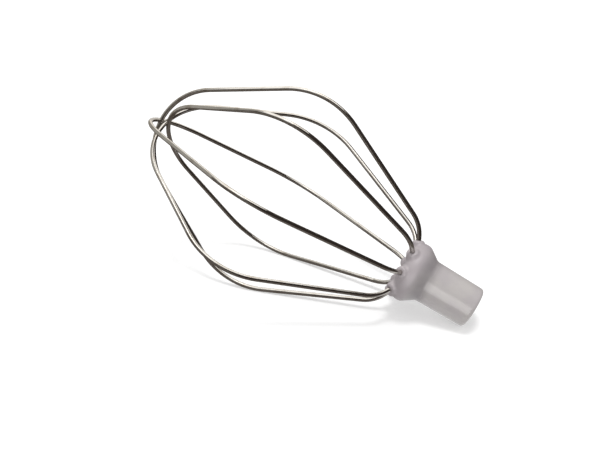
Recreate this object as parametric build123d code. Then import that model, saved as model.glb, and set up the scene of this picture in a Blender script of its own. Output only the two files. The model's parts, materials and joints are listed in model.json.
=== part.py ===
from build123d import *
import os
from math import asin, atan2, cos, degrees, hypot, radians, sin, tan

# Stand mixer wire whisk: bent wire loops held in a moulded hub, lying as it comes to rest on a table.
# It is modelled upright first: the axis is Z, the tip is up, and the wires leave the hub at Z = 0.
# Sizes are in millimetres and degrees.

# Wire loops
wire_d = 2.2
crossing_slots = (2, 0, 1, 3)    # plane of each loop, counted round the axis, outermost at the tip first
cage_r = 51.0                    # widest radius, to the wire's centreline
shoulder_z = 71.5                # height of the widest place
shoulder_round = 40.0
leg_lean = 26.4                  # lean of the straight legs from the axis
tip_z = 143.0                    # height of the outermost loop's tip, to the wire's centreline
tip_round = 30.5
tip_gap = 0.2                    # air between two loops where they cross at the tip
exit_r = 14.8                    # radius at which a wire leaves its nub
exit_lean = 66.0                 # lean of the wire from the axis as it leaves
bend_round = 18.0

# Wire seats in the hub
seat_depth = 8.0                 # length of wire held in the hub
seat_clearance = 0.05

# Head of the hub
head_r = 15.0
head_face_z = 0.8
head_corner_z = -6.7             # where the head's side turns in towards the neck
face_round = 6.0
back_round = 4.5

# Nubs round the wires
nub_mouth_r = 2.8
nub_base_r = 3.8
nub_length = 7.0
nub_mouth_round = 1.4
nub_back_round = 2.4             # of the buried end, whose top shows on the head's face
nub_blend = 2.0                  # fillet between a nub and the head

# Sleeve
neck_z = -12.9
neck_r = 10.65
neck_round = 3.0
sleeve_end_z = -38.2
sleeve_end_r = 10.1
sleeve_end_round = 1.8

# Drive socket in the sleeve, with two keyways for the cross pin of the drive shaft
socket_r = 6.25
socket_depth = 30.0
socket_chamfer = 0.8
keyway_width = 3.2
keyway_depth = 2.0               # beyond the socket's wall
keyway_length = 14.0

loop_count = len(crossing_slots)
leg_count = 2 * loop_count
leg_spacing = 360 / leg_count
wire_r = wire_d / 2


def plane_angle(slot):
    """Angle of a loop's plane round the axis. X lies midway between two neighbouring legs."""
    return (slot + 0.5) * leg_spacing


def meet(point, lean, other_point, other_lean):
    """Where two lines in a loop's plane meet. Each goes up through its point, leaning out from the axis."""
    run = (sin(radians(lean)), cos(radians(lean)))
    other_run = (sin(radians(other_lean)), cos(radians(other_lean)))
    apart = (other_point[0] - point[0], other_point[1] - point[1])
    along = (apart[0] * other_run[1] - apart[1] * other_run[0]) / (run[0] * other_run[1] - run[1] * other_run[0])
    return (point[0] + along * run[0], point[1] + along * run[1])


def loop_path(rank):
    """Centreline of a loop in the XZ plane: straight runs joined by tangent arcs, the same on both sides."""
    shoulder_centre = (cage_r - shoulder_round, shoulder_z)
    tip_centre_z = tip_z - rank * (wire_d + tip_gap) - tip_round
    centre_distance = hypot(shoulder_centre[0], tip_centre_z - shoulder_z)
    centre_lean = degrees(atan2(shoulder_centre[0], tip_centre_z - shoulder_z))
    converge_lean = centre_lean + degrees(asin((shoulder_round - tip_round) / centre_distance))

    leg_top = (
        shoulder_centre[0] + shoulder_round * cos(radians(leg_lean)),
        shoulder_centre[1] - shoulder_round * sin(radians(leg_lean)),
    )
    converge_foot = (
        shoulder_centre[0] + shoulder_round * cos(radians(converge_lean)),
        shoulder_centre[1] + shoulder_round * sin(radians(converge_lean)),
    )
    wire_end = (
        exit_r - seat_depth * sin(radians(exit_lean)),
        -seat_depth * cos(radians(exit_lean)),
    )
    bend_corner = meet((exit_r, 0), exit_lean, leg_top, leg_lean)
    shoulder_corner = meet(leg_top, leg_lean, converge_foot, -converge_lean)
    tip_corner = (0, converge_foot[1] + converge_foot[0] / tan(radians(converge_lean)))

    half = [wire_end, bend_corner, shoulder_corner]
    other_half = [(-r, z) for r, z in reversed(half)]
    rounds = [bend_round, shoulder_round, tip_round, shoulder_round, bend_round]
    return Plane.XZ * FilletPolyline(*half, tip_corner, *other_half, radius=rounds)


def wire_loop(rank):
    """One loop of wire, swept along its centreline and turned to its own plane."""
    path = loop_path(rank)
    section = Plane(origin=path @ 0, z_dir=path % 0) * Circle(wire_r)
    return Rot(Z=plane_angle(crossing_slots[rank])) * sweep(section, path=path)


def wire_exits():
    """Place of each wire's exit from the hub, with Z along the wire and outwards."""
    return [
        Rot(Z=plane_angle(index)) * Pos(X=exit_r) * Rot(Y=exit_lean)
        for index in range(leg_count)
    ]


def hub_body():
    """Head, neck and sleeve, turned about the axis."""
    rim = FilletPolyline(
        (0, head_face_z),
        (head_r, head_face_z),
        (head_r, head_corner_z),
        (neck_r, neck_z),
        (sleeve_end_r, sleeve_end_z),
        (0, sleeve_end_z),
        radius=[face_round, back_round, neck_round, sleeve_end_round],
    )
    axis_line = Line((0, sleeve_end_z), (0, head_face_z))
    return revolve(Plane.XZ * make_face([*rim.edges(), axis_line]), Axis.Z)


def nub():
    """Round nose about a wire, with its mouth at Z = 0 and its other end buried in the head.

    It is turned from an outline on the -X side, so that its seam lies towards the head's middle.
    """
    outline = FilletPolyline(
        (0, -nub_length),
        (-nub_base_r, -nub_length),
        (-nub_mouth_r, 0),
        (0, 0),
        radius=[nub_back_round, nub_mouth_round],
    )
    axis_line = Line((0, 0), (0, -nub_length))
    return revolve(Plane.XZ * make_face([*outline.edges(), axis_line]), Axis.Z)


def drive_socket():
    """Space of the blind socket: a round bore, a chamfered mouth and two keyways."""
    mouth = Pos(Z=sleeve_end_z)
    upwards = (Align.CENTER, Align.CENTER, Align.MIN)
    bore = Cylinder(socket_r, socket_depth, align=upwards)
    lead_in = Cone(socket_r + socket_chamfer, socket_r, socket_chamfer, align=upwards)
    keyways = Box(2 * (socket_r + keyway_depth), keyway_width, keyway_length, align=upwards)
    return mouth * (bore + lead_in + keyways)


def hub():
    """The moulding: body and nubs blended together, less the drive socket and the wire seats."""
    body = hub_body()
    nubs = [place * nub() for place in wire_exits()]
    blended = body + nubs
    blend_edges = new_edges(body, *nubs, combined=blended)
    moulding = fillet(blend_edges, nub_blend) - drive_socket()
    reach = seat_depth + wire_d
    seat = Pos(Z=-seat_depth) * Cylinder(
        wire_r + seat_clearance, reach, align=(Align.CENTER, Align.CENTER, Align.MIN)
    )
    return moulding - [place * seat for place in wire_exits()]


def table_lean():
    """Lean of the axis from the table when two neighbouring legs and the sleeve's rim all touch it."""
    side = cos(radians(leg_spacing / 2))
    taper = (neck_r - sleeve_end_r) / (neck_z - sleeve_end_z)
    rim_r = sleeve_end_r + sleeve_end_round * (taper - hypot(1, taper))
    rim_z = sleeve_end_z + sleeve_end_round

    def legs_below_rim(lean):
        across, along = cos(radians(lean)), sin(radians(lean))
        legs = (cage_r - shoulder_round) * side * across - shoulder_z * along
        legs += shoulder_round * hypot(side * across, along) + wire_r
        rim = rim_r * across - rim_z * along + sleeve_end_round
        return legs - rim

    low, high = 0.0, 90.0
    for _ in range(50):
        middle = (low + high) / 2
        if legs_below_rim(middle) > 0:
            low = middle
        else:
            high = middle
    return low


def lay_down(pieces):
    """Lay the upright pieces on the table: hub towards +X, tip raised, centred over the origin."""
    lean = radians(table_lean())
    lying = Plane(origin=(0, 0, 0), x_dir=(-sin(lean), 0, -cos(lean)), z_dir=(-cos(lean), 0, sin(lean)))
    laid = {name: lying * piece for name, piece in pieces.items()}
    box = Compound(list(laid.values())).bounding_box()
    centre = box.center()
    home = Pos(-centre.X, -centre.Y, -box.min.Z)
    return {name: home * piece for name, piece in laid.items()}


pieces = {"hub": hub()}
for rank in range(loop_count):
    pieces[f"wire_loop_{rank + 1}"] = wire_loop(rank)

os.makedirs("parts", exist_ok=True)
for name, piece in lay_down(pieces).items():
    export_step(piece, f"parts/{name}.step")
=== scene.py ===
# %% [markdown]
# Wire whisk of a stand mixer
#
# The whisk is four loops of bent steel wire that cross at the tip, and a moulded plastic hub that holds
# their eight ends and slides on the mixer's shaft. The CAD model has all of those solids at their real
# size, so this lesson adds what CAD leaves out: the finish of each surface, a table, light and a camera.
# Lengths are in metres, and mm makes them from millimetres.

# %% Load the CAD model
import json
import math

import bmesh
import bpy
import numpy as np
from mathutils import Matrix, Vector

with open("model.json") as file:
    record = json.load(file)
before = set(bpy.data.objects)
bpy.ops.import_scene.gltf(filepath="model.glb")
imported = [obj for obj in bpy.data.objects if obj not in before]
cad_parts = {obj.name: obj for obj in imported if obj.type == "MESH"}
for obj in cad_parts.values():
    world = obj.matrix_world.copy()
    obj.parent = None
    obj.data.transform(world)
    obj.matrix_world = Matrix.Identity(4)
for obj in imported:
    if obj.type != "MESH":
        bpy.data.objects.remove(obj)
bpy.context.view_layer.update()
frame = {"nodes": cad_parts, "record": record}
nodes = frame["nodes"]
mm = 0.001
print("CAD nodes:", ", ".join(sorted(nodes)))

# %% [markdown]
# The whisk's own axis
#
# The whisk lies on its side, a little tip up, so its axis isn't one of the world's axes. The plastic's
# finish follows that axis, because the hub is a turned shape round it. It could be measured from the
# mesh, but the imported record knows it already, as the axis of the drive socket. The turn that lays Z
# along it, towards the tip, also puts Y up and X to the front, where the camera stands.

# %% Find the axis
drive_socket = next(mount for mount in frame["record"]["mounts"] if mount["name"] == "drive_socket")
socket_middle = Vector(drive_socket["pos_m"])
tip_direction = -Vector(drive_socket["axis"]).normalized()
axis_turn = tip_direction.to_track_quat("Z", "Y")
print("the tip points along", tuple(round(part, 3) for part in tip_direction))


# %% [markdown]
# Sums written as sums
#
# A finish is a chain of nodes. Written out node by node it is long and hard to follow, so one small
# class wraps a node's output: plus, minus and times on it add Math nodes, and its method add makes any
# other node from a type, its settings and what goes into its sockets.

# %% The shader helper
class Signal:
    """A value or a colour on its way through a node tree. Arithmetic on it adds Math nodes."""

    def __init__(self, tree, output=None):
        self.tree = tree
        self.output = output

    def add(self, kind, settings=None, sockets=None, output=0):
        """A new node: its settings are set first, and then its sockets are fed."""
        node = self.tree.nodes.new(kind)
        for name, value in (settings or {}).items():
            setattr(node, name, value)
        self.feed(node, sockets or {})
        return Signal(self.tree, node.outputs[output])

    def feed(self, node, sockets):
        """Links a signal to each named socket of a node, or sets a plain value on it."""
        for name, value in sockets.items():
            if isinstance(value, Signal):
                self.tree.links.new(value.output, node.inputs[name])
            else:
                node.inputs[name].default_value = value

    def math(self, operation, first, second):
        return self.add("ShaderNodeMath", {"operation": operation}, {0: first, 1: second})

    def __add__(self, other):
        return self.math("ADD", self, other)

    def __radd__(self, other):
        return self.math("ADD", other, self)

    def __sub__(self, other):
        return self.math("SUBTRACT", self, other)

    def __rsub__(self, other):
        return self.math("SUBTRACT", other, self)

    def __mul__(self, other):
        return self.math("MULTIPLY", self, other)

    def __rmul__(self, other):
        return self.math("MULTIPLY", other, self)

    def __abs__(self):
        return self.math("ABSOLUTE", self, 0.0)


print("a signal can be added, subtracted, multiplied and fed to a node")


# %% [markdown]
# Small tools for every finish
#
# Five steps come back in the finishes: a soft change between two limits, a blend of two colours, a noise
# with spots of a given size, small bumps, and coordinates that are turned to suit the piece. Each gets a
# function, so that a finish below reads as a short recipe.

# %% Recipe steps
def smooth_step(value, low, high):
    """0 below low and 1 above high, with a soft change between them."""
    settings = {"interpolation_type": "SMOOTHSTEP"}
    return value.add("ShaderNodeMapRange", settings, {"Value": value, "From Min": low, "From Max": high})


def blend_colours(factor, first, second):
    """The first colour where the factor is 0 and the second where it is 1."""
    return factor.add("ShaderNodeMix", {"data_type": "RGBA"}, {0: factor, 6: first, 7: second}, output=2)


def noise(place, size, detail):
    """Cloudy noise between 0 and 1, with spots of about this size."""
    return place.add("ShaderNodeTexNoise", None, {"Vector": place, "Scale": 1 / size, "Detail": detail})


def bumps(height, strength, depth):
    """A surface direction that follows a height, up to this depth."""
    sockets = {"Height": height, "Strength": strength, "Distance": depth}
    return height.add("ShaderNodeBump", None, sockets, output="Normal")


def turned_place(start, turn, origin):
    """Object coordinates measured from an origin, along axes that are turned."""
    place = start.add("ShaderNodeTexCoord", output="Object")
    sockets = {"Vector": place, "Location": origin, "Rotation": turn.to_euler()}
    return start.add("ShaderNodeMapping", {"vector_type": "TEXTURE"}, sockets)


print("five recipe steps are ready")


# %% [markdown]
# From a recipe to a piece
#
# A new material comes with one Principled surface, which can be plastic, metal or something that glows.
# One function starts such a material and one puts it on a CAD node. A node could have a finish for each
# face, but here each piece is of one material, and what varies over it is in the recipe.

# %% Start a finish and put it on
def new_finish(name):
    """A material, a signal to start its nodes from, and its surface."""
    material = bpy.data.materials.new(name)
    material.use_nodes = True
    return material, Signal(material.node_tree), material.node_tree.nodes["Principled BSDF"]


def dress(node, material):
    """Gives a CAD node one material all over."""
    node.data.materials.clear()
    node.data.materials.append(material)


print("a finish can be started and put on")

# %% [markdown]
# Moulded plastic
#
# The hub is a pale grey moulding with a satin skin. It could be one flat grey, but the real one varies:
# the plastic is faintly cloudy and the mould left a fine grain. The head is darker, greyer and more matt
# than the sleeve, and painted shade darkens the crease between them, in patches. The crease is a ring
# round the axis, so the coordinates are turned first, until Z runs along the axis.

# %% Plastic of the hub
plastic_pale = (0.55, 0.52, 0.505, 1)
plastic_cloudy = (0.50, 0.465, 0.47, 1)
plastic_head = (0.42, 0.375, 0.395, 1)
# the tone of the painted shade in the crease between head and sleeve
plastic_crease_shade = (0.20, 0.178, 0.193, 1)
cloud_size = 11 * mm
cloud_limits = (0.35, 0.70)   # of the noise, where the plastic is clear and where it is cloudy
grain_size = 0.4 * mm
grain_depth = 0.05 * mm
grain_strength = 0.35
crease_place = 11.4 * mm      # from the middle of the socket, towards the tip
crease_width = 0.3 * mm       # each way, where the painted shade is darkest
crease_reach = 6.0 * mm       # each way, where the painted shade ends
crease_shade_share = 0.4             # of the painted shade's tone in the mix, where it is darkest
crease_shade_patches = 0.5           # what the cloudiness adds to that share
head_reach = 6.0 * mm         # beyond the crease, where the head's darker tone is reached
head_share = 0.85             # of that tone in the mix
sleeve_roughness = 0.18
cloud_roughness = 0.06        # added by the cloudiness
head_roughness = 0.23         # added over the head
crease_roughness = 0.16        # added where the crease is painted darker


def hub_plastic():
    """Cloudy plastic with a fine grain, a darker head and painted shade in the crease."""
    material, start, surface = new_finish("hub_plastic")
    place = turned_place(start, axis_turn, socket_middle)
    height = start.add("ShaderNodeSeparateXYZ", None, {"Vector": place}, output="Z")
    cloud = noise(place, cloud_size, detail=4.0)
    grain = noise(place, grain_size, detail=2.0)
    head = smooth_step(height, crease_place, crease_place + head_reach)
    crease = 1 - smooth_step(abs(height - crease_place), crease_width, crease_reach)
    # painted shade: the crease between head and sleeve is darkened, in patches
    crease_shade = crease * (crease_shade_share + crease_shade_patches * cloud)
    colour = blend_colours(smooth_step(cloud, *cloud_limits), plastic_pale, plastic_cloudy)
    colour = blend_colours(head_share * head, colour, plastic_head)
    colour = blend_colours(crease_shade, colour, plastic_crease_shade)
    roughness = sleeve_roughness + cloud_roughness * cloud
    roughness = roughness + head_roughness * head + crease_roughness * crease_shade
    start.feed(surface, {
        "Base Color": colour,
        "Roughness": roughness,
        "Normal": bumps(grain, grain_strength, grain_depth),
    })
    return material


dress(nodes["hub"], hub_plastic())
print("hub:", len(nodes["hub"].data.polygons), "faces in moulded plastic")

# %% [markdown]
# Drawn steel wire
#
# Wire is pulled through a die, which leaves fine lines along its length. The mesh has no lengthwise
# coordinate to follow, but each loop is bent flat in one plane, and a line at a fixed height over that
# plane runs along the wire wherever it bends. So each loop's plane is read from its mesh, the pattern
# is turned into it, and a noise that changes quickly with the height alone draws the lines. Water has
# left the steel darker and duller in spots. A metal's tint at a grazing angle is set below white, so
# that the wire keeps a darker rim against the white table.

# %% Steel of the loops
steel_bright = (0.55, 0.53, 0.505, 1)
steel_dull = (0.42, 0.385, 0.345, 1)
steel_rim = (0.65, 0.62, 0.58, 1)
line_width = 0.11 * mm
line_length = 25 * mm
line_depth = 0.02 * mm
line_strength = 0.12
spot_size = 6 * mm
spot_limits = (0.48, 0.72)    # of the noise, where the steel is bright and where it is dull
bright_roughness = 0.06
line_roughness = 0.05         # added by the lines
dull_roughness = 0.10         # added by the dull spots


def loop_plane(node):
    """A turn that puts Z square to the plane that a loop is bent in, and the middle of the loop."""
    points = np.array([vertex.co for vertex in node.data.vertices])
    middle = points.mean(axis=0)
    directions = np.linalg.svd(points - middle, full_matrices=False)[2]
    return Vector(directions[2]).to_track_quat("Z", "Y"), Vector(middle)


def wire_steel(node):
    """Drawn steel, with lines that follow the wire of this loop."""
    material, start, surface = new_finish(node.name + "_steel")
    place = turned_place(start, *loop_plane(node))
    line_scale = (1 / line_length, 1 / line_length, 1 / line_width)
    stretched = start.add("ShaderNodeVectorMath", {"operation": "MULTIPLY"}, {0: place, 1: line_scale})
    lines = noise(stretched, 1.0, detail=3.0)
    dull = smooth_step(noise(place, spot_size, detail=5.0), *spot_limits)
    start.feed(surface, {
        "Base Color": blend_colours(dull, steel_bright, steel_dull),
        "Metallic": 1.0,
        "Specular Tint": steel_rim,
        "Roughness": bright_roughness + line_roughness * lines + dull_roughness * dull,
        "Normal": bumps(lines, line_strength, line_depth),
    })
    return material


loops = [nodes[name] for name in sorted(nodes) if name.startswith("wire_loop")]
for loop in loops:
    dress(loop, wire_steel(loop))
print("drawn steel on", len(loops), "loops")

# %% [markdown]
# The table
#
# The whisk lies on a white sheet that goes on past the picture's edges. More light would make the sheet
# white, but it would bleach the plastic too. So the sheet is a plain pale grey, and a little light of
# its own lifts it to white. Only the camera and reflections see that lift, so the shadows stay.

# %% Table
table_size = 12.0
table_shade = (0.72, 0.72, 0.72, 1)
table_roughness = 0.9
table_lift = 0.40


def looked_at(start):
    """1 where the camera looks, straight on, by reflection or through glass, and 0 for light that falls."""
    outputs = ("Is Camera Ray", "Is Glossy Ray", "Is Transmission Ray")
    straight, reflected, through = [start.add("ShaderNodeLightPath", output=name) for name in outputs]
    return straight + reflected + through


def table_sheet():
    """A pale grey sheet that looks white."""
    material, start, surface = new_finish("white_sheet")
    lift = table_lift * looked_at(start)
    glow = start.add("ShaderNodeCombineColor", None, {"Red": lift, "Green": lift, "Blue": lift})
    start.feed(surface, {
        "Base Color": table_shade,
        "Roughness": table_roughness,
        "Specular IOR Level": 0.0,
        "Emission Color": glow,
        "Emission Strength": 1.0,
    })
    return material


def set_on_stage(name, mesh, material):
    """Makes an object of a bmesh, gives it one material and links it into the scene."""
    thing = bpy.data.objects.new(name, bpy.data.meshes.new(name))
    mesh.to_mesh(thing.data)
    mesh.free()
    thing.data.materials.append(material)
    bpy.context.scene.collection.objects.link(thing)
    return thing


sheet = bmesh.new()
bmesh.ops.create_grid(sheet, x_segments=1, y_segments=1, size=table_size / 2)
set_on_stage("table", sheet, table_sheet())
print("table:", table_size, "m across")

# %% [markdown]
# Light from all round and from above
#
# Light from all round fills the scene, and one soft lamp overhead adds shape and puts thin shadows right
# under the wires that come down to the table. It is a Sun, because that lights the table evenly out to
# the horizon, and its width in the sky sets how soft a shadow is. Together they light a level surface at
# a strength of about 1, so that a colour comes out about as it is written.

# %% Overhead lamp
overhead_strength = 1.25
overhead_height = 2.0
overhead_tilt = 2             # degrees, towards the front
overhead_width = 16           # degrees of sky


def turn_by(degrees, axis):
    """A turn about one axis, as a matrix."""
    return Matrix.Rotation(math.radians(degrees), 4, axis)


def hang_lamp(light, place):
    """Hangs a light at a place, which is a matrix. It shines along the place's -Z axis."""
    lamp = bpy.data.objects.new(light.name, light)
    lamp.matrix_world = place
    bpy.context.scene.collection.objects.link(lamp)
    return lamp


overhead_light = bpy.data.lights.new("overhead", "SUN")
overhead_light.energy = overhead_strength
overhead_light.angle = math.radians(overhead_width)
hang_lamp(overhead_light, turn_by(overhead_tilt, "X") @ Matrix.Translation((0, 0, overhead_height)))
print("overhead lamp:", overhead_width, "degrees wide")

# %% Fill
fill_light = 0.68

world = bpy.data.worlds.new("studio")
bpy.context.scene.world = world
world.use_nodes = True
around = Signal(world.node_tree)
around.feed(world.node_tree.nodes["Background"], {
    "Color": (1, 1, 1, 1),
    "Strength": fill_light + (1 - fill_light) * looked_at(around),
})
print("fill from all round:", fill_light)

# %% [markdown]
# A stripe along the sleeve
#
# The pale stripe along the sleeve is the mirror image of a small lamp. A large lamp far away would do,
# but the table would hide its lower half, so this one hangs close in front of the sleeve and parallel to
# it. It gives a gloss only, and light linking keeps it off the wires, where it would draw a bright line
# that the real wires don't have.

# %% Stripe lamp
stripe_lamp_watts = 0.0235
stripe_lamp_length = 60 * mm
stripe_lamp_width = 46 * mm
stripe_lamp_distance = 61 * mm    # from the axis
stripe_lamp_rise = 11.6           # degrees round the axis, from the front upwards

stripe_light = bpy.data.lights.new("stripe_lamp", "AREA")
stripe_light.shape = "RECTANGLE"
stripe_light.size = stripe_lamp_length
stripe_light.size_y = stripe_lamp_width
stripe_light.energy = stripe_lamp_watts
whisk_frame = Matrix.LocRotScale(socket_middle, axis_turn, None)
in_front = Matrix.Translation((stripe_lamp_distance, 0, 0)) @ turn_by(90, "Y")
stripe_lamp = hang_lamp(stripe_light, whisk_frame @ turn_by(stripe_lamp_rise, "Z") @ in_front)
stripe_lamp.visible_camera = False
stripe_lamp.visible_diffuse = False
lit_by_stripe_lamp = bpy.data.collections.new("lit_by_stripe_lamp")
lit_by_stripe_lamp.objects.link(nodes["hub"])
stripe_lamp.light_linking.receiver_collection = lit_by_stripe_lamp
print("stripe lamp:", round(stripe_lamp_distance / mm), "mm from the axis")

# %% [markdown]
# Cards for the steel
#
# Polished wire shows what stands round it, so in an all-white studio it would vanish. A photographer
# sets bright and dark cards round such a piece. Lamps could stand in for the bright ones, but a lamp
# can't be dark. So the cards are surfaces that glow by themselves, much or little, and are hidden from
# the camera, the fill and the lamps, so that only reflections see them. Each side card is one upright
# edge, spun part of the way round the whisk.

# %% How a card is hung
card_distance = 0.18
card_steps = 24


def hang_card(name, mesh, glow):
    """Makes a mesh a card that only reflections see. Its glow is a colour or a function that makes one."""
    material, start, surface = new_finish(name)
    start.feed(surface, {
        "Base Color": (0, 0, 0, 1),
        "Specular IOR Level": 0.0,
        "Emission Color": glow(start) if callable(glow) else glow,
        "Emission Strength": 1.0,
    })
    card = set_on_stage(name, mesh, material)
    card.visible_camera = False
    card.visible_diffuse = False
    card.visible_shadow = False
    print(name, "has", len(card.data.polygons), "faces")


def side_card(name, first, last, foot, top, glow):
    """A card that stands round the whisk, from a first to a last angle, in degrees from the front."""
    mesh = bmesh.new()
    ends = [mesh.verts.new((0, -card_distance, height)) for height in (foot, top)]
    edge = mesh.edges.new(ends)
    bmesh.ops.rotate(mesh, verts=ends, matrix=turn_by(first, "Z"))
    sweep = math.radians(last - first)
    bmesh.ops.spin(mesh, geom=[*ends, edge], axis=(0, 0, 1), angle=sweep, steps=card_steps)
    hang_card(name, mesh, glow)


def level_card(name, middle, width, glow):
    """A square card that lies or hangs level."""
    mesh = bmesh.new()
    bmesh.ops.create_grid(mesh, x_segments=1, y_segments=1, size=width / 2)
    bmesh.ops.translate(mesh, verts=mesh.verts, vec=middle)
    hang_card(name, mesh, glow)


print("side cards stand", card_distance, "m from the middle")

# %% [markdown]
# Where the cards stand
#
# A dark card to the right and a dark cloth under the whisk give the wires their dark cores and
# undersides, grey cards to the left fill what lies between, and bright cards behind and above draw the
# pale lines. The sleeve mirrors a white table, so the cloth is white round it. A hole in the cloth would
# show its edge in the wires, so the cloth fades to white instead.

# %% Cards and cloth
top_card_height = 0.42
cloth_dark = (0.18, 0.16, 0.145, 1)
cloth_white = (0.95, 0.95, 0.95, 1)
cloth_white_reach = 20 * mm   # from the middle of the socket, where the cloth starts to darken
cloth_dark_reach = 40 * mm    # and where it is dark
cloth_height = 0.3 * mm       # just over the table


def cloth_glow(start):
    """White round the sleeve and dark farther away."""
    ends = {0: start.add("ShaderNodeTexCoord", output="Object"), 1: socket_middle}
    away = start.add("ShaderNodeVectorMath", {"operation": "DISTANCE"}, ends, output="Value")
    return blend_colours(smooth_step(away, cloth_white_reach, cloth_dark_reach), cloth_white, cloth_dark)


side_card("dark_card", first=0, last=172, foot=0.0, top=top_card_height, glow=(0.045, 0.036, 0.032, 1))
side_card("grey_card", first=-58, last=0, foot=0.0, top=0.20, glow=(0.16, 0.145, 0.13, 1))
side_card("left_card", first=-115, last=-58, foot=0.04, top=0.36, glow=(0.52, 0.505, 0.465, 1))
side_card("back_card", first=-188, last=-115, foot=0.08, top=0.36, glow=(1.60, 1.57, 1.50, 1))
level_card("top_card", middle=(0, 0, top_card_height), width=0.54, glow=(1.75, 1.72, 1.65, 1))
level_card("dark_cloth", middle=(0, -0.10, cloth_height), width=0.80, glow=cloth_glow)

# %% [markdown]
# Camera
#
# The camera stands where the photograph was taken from. Its place, its three angles and its lens were
# worked out by laying the wires of the CAD model over those of the photograph.

# %% Camera
camera_place = Vector((112.76, -295.87, 209.18)) * mm
camera_azimuth = 21.81        # degrees, and so are the next two
camera_elevation = 29.05
camera_roll = 2.09
camera_lens = 44.14           # millimetres, as Blender counts lens and sensor
camera_sensor = 36.0
nearest_seen = 10 * mm

camera = bpy.data.objects.new("camera", bpy.data.cameras.new("camera"))
camera.data.sensor_width = camera_sensor
camera.data.lens = camera_lens
camera.data.clip_start = nearest_seen
aim = turn_by(camera_azimuth, "Z") @ turn_by(90 - camera_elevation, "X") @ turn_by(camera_roll, "Z")
camera.matrix_world = Matrix.Translation(camera_place) @ aim
bpy.context.scene.collection.objects.link(camera)
bpy.context.scene.camera = camera
bpy.context.scene.view_settings.view_transform = "Standard"
print("camera at", tuple(round(part, 3) for part in camera_place))
